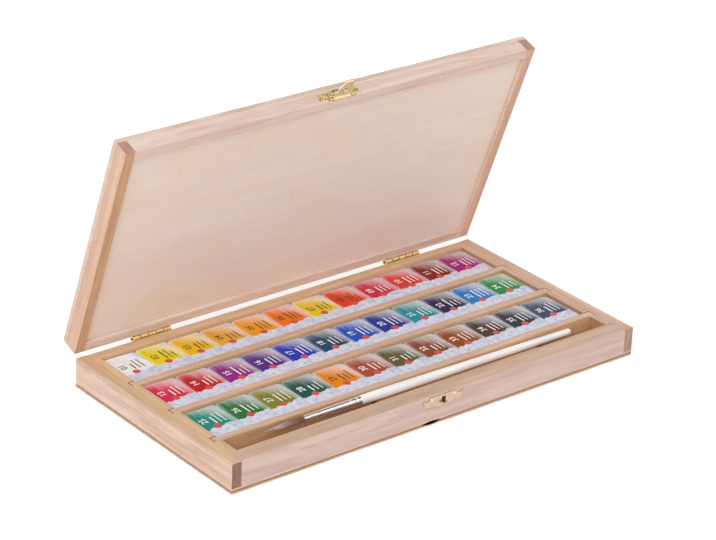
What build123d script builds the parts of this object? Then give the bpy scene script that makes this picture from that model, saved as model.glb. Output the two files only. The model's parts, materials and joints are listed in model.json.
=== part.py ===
"""Wooden watercolour paint box: a shallow tray of wrapped paint pans with a hinged lid.

Millimetres. The origin is the middle of the tray's underside, +X to the right along the
front, +Y to the back and +Z up. The box is shown open, with its lid leaning a little
forwards over the tray, and the lid's pieces are drawn on a plane that turns with it.
"""
from build123d import *
from math import atan2, cos, degrees, pi, radians, sin
import os

# Paint pans, each a block of paint in a paper wrapper
pans_per_row = 12
pan_rows = 3
pan_width = 20.25
pan_length = 30.2
pan_height = 12.3
pan_gap = 0.12
row_side_clearance = 0.4
row_end_clearance = 0.6
wrapper_edge = 0.9

# Tray
rail_width = 10.5
back_rail_width = 6.7
corner_tongue = 5.7
pan_depth_below_rim = 1.5
ply_thickness = 3.0
divider_thickness = 4.6
dado_depth = 3.5
dado_end_gap = 0.5
dado_side_gap = 0.35
glue_gap = 0.05
channel_width = 12.6
rail_edge = 0.4

# Lid
lid_rail_width = 5.7
lid_rail_height = 8.6
lid_skin_thickness = 2.6
lid_panel_thickness = 3.0
lid_recess = 2.0
panel_groove_depth = 2.2
panel_clearance = 0.1
rim_gap = 0.2
lid_open_angle = 70.3

# Hinges
hinge_length = 24.5
hinge_from_middle = 85.0
hinge_leaf_height = 9.0
hinge_leaf_thickness = 0.9
barrel_radius = 1.6
hinge_pin_radius = 0.75
barrel_gap = 0.2
knuckle_count = 5
knuckle_gap = 0.5
running_clearance = 0.05
fixed_clearance = 0.02
screw_spacing = 15.0
screw_head_radius = 1.5
screw_shank_radius = 0.85
screw_length = 5.2
screw_head_height = 0.8

# Catch
catch_plate_thickness = 0.5
catch_plate_width = 26.0
catch_body_width = 17.6
catch_plate_height = 6.6
catch_knuckle_radius = 1.1
catch_pin_radius = 0.5
catch_pin_above_rim = 0.25
catch_pin_out = 1.25
catch_barrel_length = 16.0
hasp_eye_width = 10.5
hasp_gap = 0.15
hasp_length = 12.4
hasp_tip_width = 4.4
hasp_thickness = 0.6
hasp_slot_width = 3.4
hasp_slot_start = 3.0
hasp_slot_length = 4.2
hasp_lip_radius = 0.8
hasp_open_angle = 79.0
catch_plate_drop = 0.7
hook_width = 2.2
hook_reach = 2.0
hook_thickness = 0.6
hook_bend = 0.7
hook_drop = 1.1
hook_clearance = 0.5
hook_window_height = 2.6
hook_window_side = 0.2
nail_spacing = 14.8
nail_shank_radius = 0.45
nail_head_radius = 0.95
nail_head_height = 0.35
nail_length = 3.2

# Brush
brush_length = 206.0
hair_length = 25.5
hair_radius = 1.65
hair_root = 8.0
hair_belly = 0.36
hair_point_power = 0.8
hair_steps = 3
ferrule_length = 36.0
ferrule_radius_front = 1.75
ferrule_radius_back = 2.6
ferrule_wall = 0.35
crimp_depth = 0.25
crimp_width = 1.6
handle_radius = 2.7
handle_end_radius = 1.8
handle_belly = 18.0
swell_steps = 3
handle_tenon = 12.0
brush_tip_x = -100.0
brush_from_divider = 3.0
brush_seat_gap = 0.3
brush_rest_below_rim = 5.2
brush_rest_start_x = -28.0
brush_rest_end_x = 82.0
rest_corner = 2.0

# Knot hole that shows in the front edge of the bottom panel
void_start_x = -14.0
void_length = 14.0
void_height = 2.0
void_depth = 2.4

# Places worked out from the sizes above
pan_pitch = pan_width + pan_gap
inner_length = pans_per_row * pan_pitch - pan_gap + 2 * row_side_clearance
slot_length = pan_length + row_end_clearance
row_pitch = divider_thickness + slot_length
box_length = inner_length + 2 * rail_width
box_depth = rail_width + channel_width + pan_rows * row_pitch + back_rail_width
rail_height = pan_height + pan_depth_below_rim
base_height = ply_thickness + rail_height
front = -box_depth / 2
back = box_depth / 2
left = -box_length / 2
hinge_pin_offset = barrel_radius + barrel_gap
channel_front = front + rail_width
divider_fronts = [channel_front + channel_width + row * row_pitch for row in range(pan_rows)]
hinge_pin_y = back + hinge_pin_offset
hinge_pin_z = base_height + rim_gap / 2
lid_height = lid_rail_height + lid_skin_thickness

# The lid's own plane: its origin is the hinge pin, and on the closed lid its axes are the box's
tilt = radians(lid_open_angle)
lid_plane = Plane(
    origin=(0, hinge_pin_y, hinge_pin_z), x_dir=(1, 0, 0), z_dir=(0, sin(tilt), cos(tilt))
)
lid_rim = rim_gap / 2
lid_back = -hinge_pin_offset
lid_front = lid_back - box_depth

os.makedirs("parts", exist_ok=True)
nodes = []


def keep(builder, name):
    """Label a finished piece and write it."""
    builder.part.label = name
    export_step(builder.part, f"parts/{name}.step")
    nodes.append(name)


def lid_point(x, y, z):
    """A point of the lid's own plane, in the box's frame."""
    return lid_plane.from_local_coords(Vector(x, y, z))


def facing(plane, y, outward):
    """An upright plane across the box at y, with local x along X and local y up."""
    origin = plane.from_local_coords(Vector(0, y, 0))
    y_axis = plane.y_dir
    if outward < 0:
        return Plane(origin=origin, x_dir=plane.x_dir, z_dir=-y_axis)
    return Plane(origin=origin, x_dir=-plane.x_dir, z_dir=y_axis)


# Fixings: where the screws and nails go, on the tray and on the lid
hinge_screw_z = hinge_leaf_height * 0.7
hinge_screw_xs = [
    side * hinge_from_middle + step * screw_spacing / 2 for side in (-1, 1) for step in (-1, 1)
]
base_screw_spots = [(x, base_height - hinge_screw_z) for x in hinge_screw_xs]
lid_screw_spots = [(x, lid_rim + hinge_screw_z) for x in hinge_screw_xs]
catch_top = base_height - catch_plate_drop
base_nail_spots = [(side * nail_spacing / 2, catch_top - 1.5) for side in (-1, 1)]
catch_pin_z = lid_rim + catch_pin_above_rim
hasp_pin_closed_z = hinge_pin_z + catch_pin_z
lid_nail_spots = [(side * nail_spacing / 2, catch_pin_z + 2.9) for side in (-1, 1)]


def bore(plane, spots, radius, depth):
    """Cut round holes into the piece being built, from plane inwards."""
    with BuildSketch(plane) as holes:
        with Locations([plane.to_local_coords(spot) for spot in spots]):
            Circle(radius)
    extrude(holes.sketch, amount=-depth, mode=Mode.SUBTRACT)


def on_back(plane, y, spots):
    return [plane.from_local_coords(Vector(x, y, z)) for x, z in spots]


# Tray rails. The side rails run the full depth, and a tongue of each shows at the corners
base_plane = Plane.XY
base_back_face = facing(base_plane, back, 1)
base_front_face = facing(base_plane, front, -1)

for side, name in ((-1, "base_rail_left"), (1, "base_rail_right")):
    outer = side * box_length / 2
    inner = side * (box_length / 2 - rail_width)
    tongue = side * (box_length / 2 - corner_tongue)
    with BuildPart() as side_rail:
        with BuildSketch(Plane.XY.offset(ply_thickness)):
            with BuildLine():
                Polyline(
                    (outer, front),
                    (tongue, front),
                    (tongue, front + rail_width),
                    (inner, front + rail_width),
                    (inner, back - back_rail_width),
                    (tongue, back - back_rail_width),
                    (tongue, back),
                    (outer, back),
                    close=True,
                )
            make_face()
            dado_reach = dado_depth + dado_end_gap
            dado_width = divider_thickness + dado_side_gap
            with Locations(
                [(inner + side * dado_reach / 2, y + dado_width / 2) for y in divider_fronts]
            ):
                Rectangle(dado_reach, dado_width, mode=Mode.SUBTRACT)
        extrude(amount=rail_height)
        outer_edges = side_rail.edges().filter_by(Axis.Y).group_by(Axis.Z)[-1]
        chamfer(outer_edges.sort_by(Axis.X)[0 if side < 0 else -1], length=rail_edge)
    keep(side_rail, name)

cross_length = box_length - 2 * corner_tongue - 2 * glue_gap
with BuildPart() as base_rail_front:
    with BuildSketch(Plane.XY.offset(ply_thickness)):
        with Locations((0, front + (rail_width - glue_gap) / 2)):
            Rectangle(cross_length, rail_width - glue_gap)
    extrude(amount=rail_height)
    top_front = base_rail_front.edges().filter_by(Axis.X).group_by(Axis.Z)[-1]
    chamfer(top_front.sort_by(Axis.Y)[0], length=rail_edge)
    bore(
        base_front_face,
        on_back(base_plane, front, base_nail_spots),
        nail_shank_radius + fixed_clearance,
        nail_length,
    )
keep(base_rail_front, "base_rail_front")

with BuildPart() as base_rail_back:
    with BuildSketch(Plane.XY.offset(ply_thickness)):
        with Locations((0, back - (back_rail_width - glue_gap) / 2)):
            Rectangle(cross_length, back_rail_width - glue_gap)
    extrude(amount=rail_height)
    top_back = base_rail_back.edges().filter_by(Axis.X).group_by(Axis.Z)[-1]
    chamfer(top_back.sort_by(Axis.Y)[-1], length=rail_edge)
    bore(
        base_back_face,
        on_back(base_plane, back, base_screw_spots),
        screw_shank_radius + fixed_clearance,
        screw_length,
    )
keep(base_rail_back, "base_rail_back")

# Plywood bottom, glued flush under the rails, with a knot hole open in its front edge
with BuildPart() as base_panel:
    with BuildSketch():
        Rectangle(box_length, box_depth)
    extrude(amount=ply_thickness)
    with BuildSketch(base_front_face):
        with BuildLine():
            void_end = (void_start_x + void_length, ply_thickness / 2)
            void_start = (void_start_x, ply_thickness / 2)
            ThreePointArc(
                void_start,
                (void_start_x + void_length / 2, (ply_thickness + void_height) / 2),
                void_end,
            )
            ThreePointArc(
                void_end,
                (void_start_x + void_length / 2, (ply_thickness - void_height) / 2),
                void_start,
            )
        make_face()
    extrude(amount=-void_depth, mode=Mode.SUBTRACT)
keep(base_panel, "base_panel")

# Three equal slats part the pan rows from each other and from the brush channel
with BuildPart() as row_dividers:
    with BuildSketch(Plane.XY.offset(ply_thickness)):
        with Locations([(0, y + divider_thickness / 2) for y in divider_fronts]):
            Rectangle(inner_length + 2 * dado_depth, divider_thickness)
    extrude(amount=rail_height)
    fillet(row_dividers.edges().filter_by(Axis.X).group_by(Axis.Z)[-1], radius=rail_edge)
keep(row_dividers, "row_dividers")

# A block under the brush lifts it to the rim, with a finger well left open at each end
rest_top = base_height - brush_rest_below_rim
with BuildPart() as brush_rest:
    rest_length = brush_rest_end_x - brush_rest_start_x
    rest_middle = (brush_rest_start_x + brush_rest_end_x) / 2
    with BuildSketch(Plane.XY.offset(ply_thickness)):
        with Locations((rest_middle, channel_front + channel_width / 2)):
            Rectangle(rest_length, channel_width - 2 * glue_gap)
    extrude(amount=rest_top - ply_thickness)
    fillet(brush_rest.edges().filter_by(Axis.Y).group_by(Axis.Z)[-1], radius=rest_corner)
keep(brush_rest, "brush_rest")

# Wrapped paint pans, standing on the bottom panel in three rows
first_pan_x = -inner_length / 2 + row_side_clearance + pan_width / 2
for row in range(pan_rows):
    slot_front = divider_fronts[row] + divider_thickness
    for column in range(pans_per_row):
        slack = row_end_clearance * (1 + (3 * column + 2 * row) % 4) / 5
        pan_y = slot_front + slack + pan_length / 2
        pan_plane = Plane((first_pan_x + column * pan_pitch, pan_y, ply_thickness))
        with BuildPart() as pan:
            with BuildSketch(pan_plane):
                Rectangle(pan_width, pan_length)
            extrude(amount=pan_height)
            fillet(pan.edges().group_by(Axis.Z)[-1], radius=wrapper_edge)
        keep(pan, f"paint_pan_{(pan_rows - 1 - row) * pans_per_row + column + 1:02d}")

# Lid rails, with the side rails full depth and the ends of those two showing at the corners
lid_front_face = facing(lid_plane, lid_front, -1)
lid_back_face = facing(lid_plane, lid_back, 1)
groove_height = lid_panel_thickness + 2 * panel_clearance
groove_bottom = lid_rim + lid_recess - panel_clearance


def lid_rail(centre, size, groove_centre, groove_size):
    """One grooved lid rail, as a sketch on the lid's plane pulled up from the rim."""
    with BuildSketch(lid_plane.offset(lid_rim)) as rail:
        with Locations(centre):
            Rectangle(*size)
    extrude(rail.sketch, amount=lid_rail_height)
    with BuildSketch(lid_plane.offset(groove_bottom)) as groove:
        with Locations(groove_centre):
            Rectangle(*groove_size)
    extrude(groove.sketch, amount=groove_height, mode=Mode.SUBTRACT)


lid_middle_y = lid_back - box_depth / 2
for side, name in ((-1, "lid_rail_left"), (1, "lid_rail_right")):
    rail_x = side * (box_length - lid_rail_width) / 2
    groove_x = side * (box_length / 2 - lid_rail_width + panel_groove_depth / 2)
    groove_run = box_depth - 2 * lid_rail_width + 2 * panel_groove_depth
    with BuildPart() as lid_side_rail:
        lid_rail(
            (rail_x, lid_middle_y),
            (lid_rail_width, box_depth),
            (groove_x, lid_middle_y),
            (panel_groove_depth, groove_run),
        )
    keep(lid_side_rail, name)

lid_cross_length = box_length - 2 * lid_rail_width - 2 * glue_gap
with BuildPart() as lid_rail_front:
    lid_rail(
        (0, lid_front + lid_rail_width / 2),
        (lid_cross_length, lid_rail_width),
        (0, lid_front + lid_rail_width - panel_groove_depth / 2),
        (lid_cross_length, panel_groove_depth),
    )
    bore(
        lid_front_face,
        on_back(lid_plane, lid_front, lid_nail_spots),
        nail_shank_radius + fixed_clearance,
        nail_length,
    )
keep(lid_rail_front, "lid_rail_front")

with BuildPart() as lid_rail_back:
    lid_rail(
        (0, lid_back - lid_rail_width / 2),
        (lid_cross_length, lid_rail_width),
        (0, lid_back - lid_rail_width + panel_groove_depth / 2),
        (lid_cross_length, panel_groove_depth),
    )
    bore(
        lid_back_face,
        on_back(lid_plane, lid_back, lid_screw_spots),
        screw_shank_radius + fixed_clearance,
        screw_length,
    )
keep(lid_rail_back, "lid_rail_back")

# The sheet that shows inside the lid sits in the grooves, and the skin closes the outside
with BuildPart() as lid_inner_panel:
    panel_reach = panel_groove_depth - panel_clearance
    with BuildSketch(lid_plane.offset(lid_rim + lid_recess)):
        with Locations((0, lid_middle_y)):
            Rectangle(
                box_length - 2 * lid_rail_width + 2 * panel_reach,
                box_depth - 2 * lid_rail_width + 2 * panel_reach,
            )
    extrude(amount=lid_panel_thickness)
keep(lid_inner_panel, "lid_inner_panel")

with BuildPart() as lid_skin:
    with BuildSketch(lid_plane.offset(lid_rim + lid_rail_height)):
        with Locations((0, lid_middle_y)):
            Rectangle(box_length, box_depth)
    extrude(amount=lid_skin_thickness)
keep(lid_skin, "lid_skin")

# Hinges: a leaf on each back face, knuckles in turn along one pin
knuckle_length = hinge_length / knuckle_count
leaf_start = barrel_radius + knuckle_gap


def hinge_leaf(plane, face_y, leaf_centre, knuckles, way):
    """One leaf lying on the back face face_y. way is 1 for a leaf that points up, -1 for down."""
    pin = Vector(leaf_centre, 0, 0)
    side_plane = Plane(
        origin=plane.from_local_coords(pin), x_dir=plane.y_dir, z_dir=plane.x_dir
    )
    leaf_y = face_y + hinge_leaf_thickness / 2
    plate_height = hinge_leaf_height - leaf_start
    with BuildSketch(side_plane) as plate:
        with Locations((leaf_y, way * (leaf_start + plate_height / 2))):
            Rectangle(hinge_leaf_thickness, plate_height)
    extrude(plate.sketch, amount=hinge_length / 2, both=True)
    for index in knuckles:
        start = -hinge_length / 2 + index * knuckle_length + knuckle_gap / 2
        with BuildSketch(side_plane.offset(start)) as knuckle:
            with Locations((leaf_y, way * leaf_start / 2)):
                Rectangle(hinge_leaf_thickness, leaf_start)
            Circle(barrel_radius)
        extrude(knuckle.sketch, amount=knuckle_length - knuckle_gap)
    return side_plane


def hinge_leaves(plane, face_y, knuckles, way, bore_radius, spots):
    """Both hinges' leaves on one part of the box, bored for the pins and countersunk."""
    for side in (-1, 1):
        side_plane = hinge_leaf(plane, face_y, side * hinge_from_middle, knuckles, way)
        with BuildSketch(side_plane) as pin_bore:
            Circle(bore_radius)
        extrude(pin_bore.sketch, amount=hinge_length / 2, both=True, mode=Mode.SUBTRACT)
    leaf_face = facing(plane, face_y + hinge_leaf_thickness, 1)
    with BuildSketch(leaf_face) as countersinks:
        with Locations([leaf_face.to_local_coords(spot) for spot in spots]):
            Circle(screw_head_radius + fixed_clearance)
    extrude(
        countersinks.sketch,
        amount=-hinge_leaf_thickness,
        taper=degrees(atan2(screw_head_radius - screw_shank_radius, hinge_leaf_thickness)),
        mode=Mode.SUBTRACT,
    )


pin_plane = Plane((0, hinge_pin_y, hinge_pin_z))
with BuildPart() as hinge_base_leaves:
    hinge_leaves(
        pin_plane,
        -hinge_pin_offset,
        range(0, knuckle_count, 2),
        -1,
        hinge_pin_radius + running_clearance,
        on_back(base_plane, back + hinge_leaf_thickness, base_screw_spots),
    )
keep(hinge_base_leaves, "hinge_base_leaves")

with BuildPart() as hinge_lid_leaves:
    hinge_leaves(
        lid_plane,
        lid_back,
        range(1, knuckle_count, 2),
        1,
        hinge_pin_radius + fixed_clearance,
        on_back(lid_plane, lid_back + hinge_leaf_thickness, lid_screw_spots),
    )
keep(hinge_lid_leaves, "hinge_lid_leaves")


# Catch: a plate on each front face, and a hasp that swings on the lid's plate
def catch_outline(top, bottom, hollow):
    """Half-round shield with a curled wing at each end, from the edge at top to bottom."""
    half_body = catch_body_width / 2
    half_width = catch_plate_width / 2
    way = 1 if bottom > top else -1
    height = abs(bottom - top)
    shoulder = top + way * height * 0.2
    for side in (-1, 1):
        body_corner = (side * half_body, top)
        notch = (side * (half_body + 0.5), shoulder)
        wing_tip = (side * half_width, top + way * height * 0.05)
        wing_side = (side * (half_width - 0.3), top + way * height * 0.55)
        wing_root = (side * half_body * 0.86, top + way * height * 0.78)
        Line((0, top), body_corner)
        Line(body_corner, notch)
        ThreePointArc(notch, (side * (half_width - 1.6), top + way * height * 0.3), wing_tip)
        ThreePointArc(wing_tip, (side * (half_width + 0.0), top + way * height * 0.3), wing_side)
        ThreePointArc(
            wing_side, (side * (half_body + 1.6), top + way * height * 0.82), wing_root
        )
        ThreePointArc(wing_root, (side * half_body * 0.45, top + way * height * 0.93), (0, bottom - way * hollow))


catch_face_y = front - catch_plate_thickness
with BuildPart() as catch_base_plate:
    with BuildSketch(base_front_face):
        with BuildLine():
            catch_outline(catch_top, catch_top - catch_plate_height, 0)
        make_face()
    extrude(amount=catch_plate_thickness)
    bore(
        facing(base_plane, catch_face_y, -1),
        on_back(base_plane, catch_face_y, base_nail_spots),
        nail_shank_radius + fixed_clearance,
        catch_plate_thickness,
    )
    hook_low = hasp_pin_closed_z - hasp_slot_start - hasp_slot_length + hook_clearance
    hook_root = hook_low + hook_drop
    hook_front = catch_face_y - hook_reach
    with BuildSketch(Plane(origin=(0, 0, 0), x_dir=(0, 1, 0), z_dir=(1, 0, 0))):
        with BuildLine():
            hook_top = hook_root + hook_thickness
            bend_start = (hook_front + hook_bend, hook_top)
            bend_end = (hook_front, hook_top - hook_bend)
            Polyline((front, hook_root), (front, hook_top), bend_start)
            TangentArc(bend_start, bend_end, tangent=(-1, 0))
            Polyline(
                bend_end,
                (hook_front, hook_low),
                (hook_front + hook_thickness, hook_low),
                (hook_front + hook_thickness, hook_root),
                (front, hook_root),
            )
        make_face()
    extrude(amount=hook_width / 2, both=True)
    with BuildSketch(facing(base_plane, catch_face_y, -1)):
        with Locations((0, hook_top + hook_window_height / 2)):
            Rectangle(hook_width + 2 * hook_window_side, hook_window_height)
    extrude(amount=-catch_plate_thickness, mode=Mode.SUBTRACT)
keep(catch_base_plate, "catch_base_plate")

catch_pin_y = lid_front - catch_pin_out
with BuildPart() as catch_lid_plate:
    with BuildSketch(lid_front_face):
        with BuildLine():
            catch_outline(catch_pin_z, catch_pin_z + catch_plate_height, 0)
        make_face()
    extrude(amount=catch_plate_thickness)
    barrel_plane = Plane(
        origin=lid_point(0, catch_pin_y, catch_pin_z), x_dir=lid_plane.y_dir, z_dir=(1, 0, 0)
    )
    with BuildSketch(barrel_plane):
        Circle(catch_knuckle_radius)
    extrude(amount=catch_barrel_length / 2, both=True)
    eye_room = hasp_eye_width + 2 * hasp_gap
    with BuildSketch(barrel_plane):
        Circle(catch_knuckle_radius + running_clearance * 3)
    extrude(amount=eye_room / 2, both=True, mode=Mode.SUBTRACT)
    with BuildSketch(barrel_plane):
        Circle(catch_pin_radius + fixed_clearance)
    extrude(amount=catch_barrel_length / 2, both=True, mode=Mode.SUBTRACT)
    plate_face_y = lid_front - catch_plate_thickness
    bore(
        facing(lid_plane, plate_face_y, -1),
        on_back(lid_plane, plate_face_y, lid_nail_spots),
        nail_shank_radius + fixed_clearance,
        catch_plate_thickness,
    )
keep(catch_lid_plate, "catch_lid_plate")

# The hasp's plane turns about the catch pin, and on the closed hasp local y points down
swing = radians(hasp_open_angle)
hasp_down = (lid_plane.z_dir * -cos(swing)) - (lid_plane.y_dir * sin(swing))
hasp_plane = Plane(
    origin=lid_point(0, catch_pin_y, catch_pin_z),
    x_dir=(1, 0, 0),
    z_dir=Vector(1, 0, 0).cross(hasp_down),
)
with BuildPart() as catch_hasp:
    with BuildSketch(hasp_plane.offset(-hasp_thickness / 2)):
        with BuildLine():
            half_eye = hasp_eye_width / 2
            half_tip = hasp_tip_width / 2
            Polyline((half_eye, 0), (-half_eye, 0))
            for side in (-1, 1):
                ThreePointArc(
                    (side * half_eye, 0),
                    (side * half_eye * 0.92, hasp_length * 0.45),
                    (side * half_tip, hasp_length - hasp_lip_radius),
                )
            Line(
                (-half_tip, hasp_length - hasp_lip_radius),
                (half_tip, hasp_length - hasp_lip_radius),
            )
        make_face()
        with Locations((0, hasp_slot_start + hasp_slot_length / 2)):
            RectangleRounded(hasp_slot_width, hasp_slot_length, 0.6, mode=Mode.SUBTRACT)
    extrude(amount=hasp_thickness)
    eye_plane = Plane(origin=hasp_plane.origin, x_dir=hasp_plane.y_dir, z_dir=(1, 0, 0))
    with BuildSketch(eye_plane):
        Circle(catch_knuckle_radius)
    extrude(amount=hasp_eye_width / 2, both=True)
    with BuildSketch(eye_plane):
        with Locations((hasp_length - hasp_lip_radius, -hasp_lip_radius + hasp_thickness / 2)):
            Circle(hasp_lip_radius)
    extrude(amount=hasp_tip_width / 2, both=True)
    with BuildSketch(eye_plane):
        Circle(catch_pin_radius + running_clearance)
    extrude(amount=catch_barrel_length / 2, both=True, mode=Mode.SUBTRACT)
keep(catch_hasp, "catch_hasp")

# Pins of both hinges and of the hasp, all held by the lid's side
with BuildPart() as pivot_pins:
    for side in (-1, 1):
        with BuildSketch(Plane(origin=(side * hinge_from_middle, hinge_pin_y, hinge_pin_z), z_dir=(1, 0, 0))):
            Circle(hinge_pin_radius)
        extrude(amount=hinge_length / 2, both=True)
    with BuildSketch(barrel_plane):
        Circle(catch_pin_radius)
    extrude(amount=catch_barrel_length / 2, both=True)
keep(pivot_pins, "pivot_pins")


# Screws and nails, as groups of separate solids
def screws(plane, spots):
    """Countersunk screws whose heads lie flush with plane."""
    local_spots = [plane.to_local_coords(spot) for spot in spots]
    taper = degrees(atan2(screw_head_radius - screw_shank_radius, hinge_leaf_thickness))
    with BuildSketch(plane) as heads:
        with Locations(local_spots):
            Circle(screw_head_radius)
    extrude(heads.sketch, amount=-screw_head_height, taper=taper)
    with BuildSketch(plane) as shanks:
        with Locations(local_spots):
            Circle(screw_shank_radius)
    extrude(shanks.sketch, amount=-(screw_length + hinge_leaf_thickness - 0.3))


def nails(plane, spots):
    """Small round-headed nails driven through plane."""
    local_spots = [plane.to_local_coords(spot) for spot in spots]
    with BuildSketch(plane) as heads:
        with Locations(local_spots):
            Circle(nail_head_radius)
    extrude(heads.sketch, amount=nail_head_height, taper=35)
    with BuildSketch(plane) as shanks:
        with Locations(local_spots):
            Circle(nail_shank_radius)
    extrude(shanks.sketch, amount=-(nail_length + catch_plate_thickness - 0.3))


with BuildPart() as base_fixings:
    base_leaf_face = facing(base_plane, back + hinge_leaf_thickness, 1)
    screws(base_leaf_face, on_back(base_plane, back + hinge_leaf_thickness, base_screw_spots))
    nails(facing(base_plane, catch_face_y, -1), on_back(base_plane, catch_face_y, base_nail_spots))
keep(base_fixings, "base_fixings")

with BuildPart() as lid_fixings:
    lid_leaf_face = facing(lid_plane, lid_back + hinge_leaf_thickness, 1)
    screws(lid_leaf_face, on_back(lid_plane, lid_back + hinge_leaf_thickness, lid_screw_spots))
    nails(facing(lid_plane, plate_face_y, -1), on_back(lid_plane, plate_face_y, lid_nail_spots))
keep(lid_fixings, "lid_fixings")

# Brush: it lies along the back of its channel, thickest where the handle leaves the ferrule
belly_s = hair_length + ferrule_length + handle_belly
belly_z = rest_top + brush_seat_gap + handle_radius
rest_end_s = brush_rest_end_x - brush_tip_x
taper_share = (rest_end_s - belly_s) / (brush_length - belly_s)
rest_end_radius = handle_radius + (handle_end_radius - handle_radius) * taper_share
brush_fall = (handle_radius - rest_end_radius) / (rest_end_s - belly_s)
brush_y = divider_fronts[0] - brush_from_divider
brush_plane = Plane(
    origin=(brush_tip_x, brush_y, belly_z + belly_s * brush_fall),
    x_dir=Vector(1, 0, -brush_fall),
    z_dir=Vector(brush_fall, 0, 1),
)
brush_axis = Axis(brush_plane.origin, brush_plane.x_dir)
ferrule_end_s = hair_length + ferrule_length

root_radius = ferrule_radius_front - ferrule_wall

# The tuft as one turned solid: a root inside the ferrule, a slight belly and a fine point
with BuildPart() as brush_hair:
    with BuildSketch(brush_plane):
        with BuildLine():
            root_s = hair_length + hair_root
            hair_belly_s = hair_length * (1 - hair_belly)
            point = [
                (
                    hair_belly_s * (1 - step / hair_steps),
                    hair_radius * (1 - step / hair_steps) ** hair_point_power,
                )
                for step in range(hair_steps + 1)
            ]
            root = [(root_s, 0), (root_s, root_radius), (hair_length, root_radius)]
            Polyline(*root, *point, close=True)
        make_face()
    revolve(axis=brush_axis)
keep(brush_hair, "brush_hair")


def ferrule_radius(s):
    """Outer radius of the ferrule, s from the hair's tip."""
    share = (s - hair_length) / ferrule_length
    return ferrule_radius_front + (ferrule_radius_back - ferrule_radius_front) * share


with BuildPart() as brush_ferrule:
    with BuildSketch(brush_plane):
        with BuildLine():
            crimps = [ferrule_end_s - 3.2, ferrule_end_s - 7.2]
            Line(
                (hair_length, ferrule_radius_front - ferrule_wall + fixed_clearance),
                (hair_length, ferrule_radius_front),
            )
            start = (hair_length, ferrule_radius_front)
            for crimp in sorted(crimps):
                low, floor_low, floor_high, high = [
                    crimp + crimp_width * share for share in (-0.5, -0.2, 0.2, 0.5)
                ]
                Polyline(
                    start,
                    (low, ferrule_radius(low)),
                    (floor_low, ferrule_radius(floor_low) - crimp_depth),
                    (floor_high, ferrule_radius(floor_high) - crimp_depth),
                    (high, ferrule_radius(high)),
                )
                start = (high, ferrule_radius(high))
            Line(start, (ferrule_end_s, ferrule_radius_back))
            inner_back = ferrule_radius_back - ferrule_wall
            inner_front = ferrule_radius_front - ferrule_wall + fixed_clearance
            Line((ferrule_end_s, ferrule_radius_back), (ferrule_end_s, inner_back))
            Line((ferrule_end_s, inner_back), (hair_length, inner_front))
        make_face()
    revolve(axis=brush_axis)
keep(brush_ferrule, "brush_ferrule")

with BuildPart() as brush_handle:
    tenon_start = ferrule_end_s - handle_tenon
    tenon_share = (tenon_start - hair_length) / ferrule_length
    inner_front = ferrule_radius_front - ferrule_wall + fixed_clearance
    inner_back = ferrule_radius_back - ferrule_wall
    tenon_front = inner_front + (inner_back - inner_front) * tenon_share - fixed_clearance
    with BuildSketch(brush_plane):
        with BuildLine():
            Line((tenon_start, 0), (tenon_start, tenon_front))
            Line((tenon_start, tenon_front), (ferrule_end_s, inner_back - fixed_clearance))
            neck = ferrule_radius_back - 0.1
            Line((ferrule_end_s, inner_back - fixed_clearance), (ferrule_end_s, neck))
            tail_s = brush_length - handle_end_radius
            swell = [
                (
                    ferrule_end_s + handle_belly * step / swell_steps,
                    handle_radius - (handle_radius - neck) * (1 - step / swell_steps) ** 2,
                )
                for step in range(swell_steps + 1)
            ]
            Polyline(*swell)
            Line((belly_s, handle_radius), (tail_s, handle_end_radius))
            ThreePointArc(
                (tail_s, handle_end_radius),
                (
                    brush_length - handle_end_radius * (1 - cos(pi / 4)),
                    handle_end_radius * sin(pi / 4),
                ),
                (brush_length, 0),
            )
            Line((brush_length, 0), (tenon_start, 0))
        make_face()
    revolve(axis=brush_axis)
keep(brush_handle, "brush_handle")

print(f"{len(nodes)} nodes")
print(f"box {box_length:.2f} x {box_depth:.2f} x {base_height:.2f}, lid {lid_height:.2f} thick")
print(f"hinge pin at y {hinge_pin_y:.3f}, z {hinge_pin_z:.3f}")
catch_pin_at = lid_point(0, catch_pin_y, catch_pin_z)
print(f"catch pin at y {catch_pin_at.Y:.4f}, z {catch_pin_at.Z:.4f}")
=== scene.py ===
"""Looks of the wooden watercolour paint box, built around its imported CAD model.

Metres, in the CAD model's frame: the origin is the middle of the tray's underside, +X runs to
the right along the front, +Y to the hinges and +Z up. Sizes named _MM are millimetres, and so
are the grain sizes of the noises.
"""

import json
import random
from math import cos, pi, radians, sin, sqrt

import bmesh
import bpy
from mathutils import Matrix, Vector


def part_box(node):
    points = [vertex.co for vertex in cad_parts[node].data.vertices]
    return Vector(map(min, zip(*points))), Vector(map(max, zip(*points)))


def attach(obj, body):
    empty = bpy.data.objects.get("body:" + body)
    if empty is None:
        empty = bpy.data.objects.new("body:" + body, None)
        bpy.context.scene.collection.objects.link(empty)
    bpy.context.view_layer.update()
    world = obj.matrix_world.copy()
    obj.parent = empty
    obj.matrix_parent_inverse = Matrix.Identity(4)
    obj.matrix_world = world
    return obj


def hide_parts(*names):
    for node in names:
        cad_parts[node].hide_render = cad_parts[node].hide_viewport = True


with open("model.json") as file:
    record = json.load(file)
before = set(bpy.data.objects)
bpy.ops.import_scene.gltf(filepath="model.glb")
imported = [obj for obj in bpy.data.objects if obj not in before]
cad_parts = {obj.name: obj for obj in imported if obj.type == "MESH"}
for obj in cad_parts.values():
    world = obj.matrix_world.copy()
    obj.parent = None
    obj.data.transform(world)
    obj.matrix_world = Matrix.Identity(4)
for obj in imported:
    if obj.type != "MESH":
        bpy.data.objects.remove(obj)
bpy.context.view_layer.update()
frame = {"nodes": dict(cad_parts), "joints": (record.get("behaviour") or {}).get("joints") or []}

MM = 0.001
PER_MM = 1000.0

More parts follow.
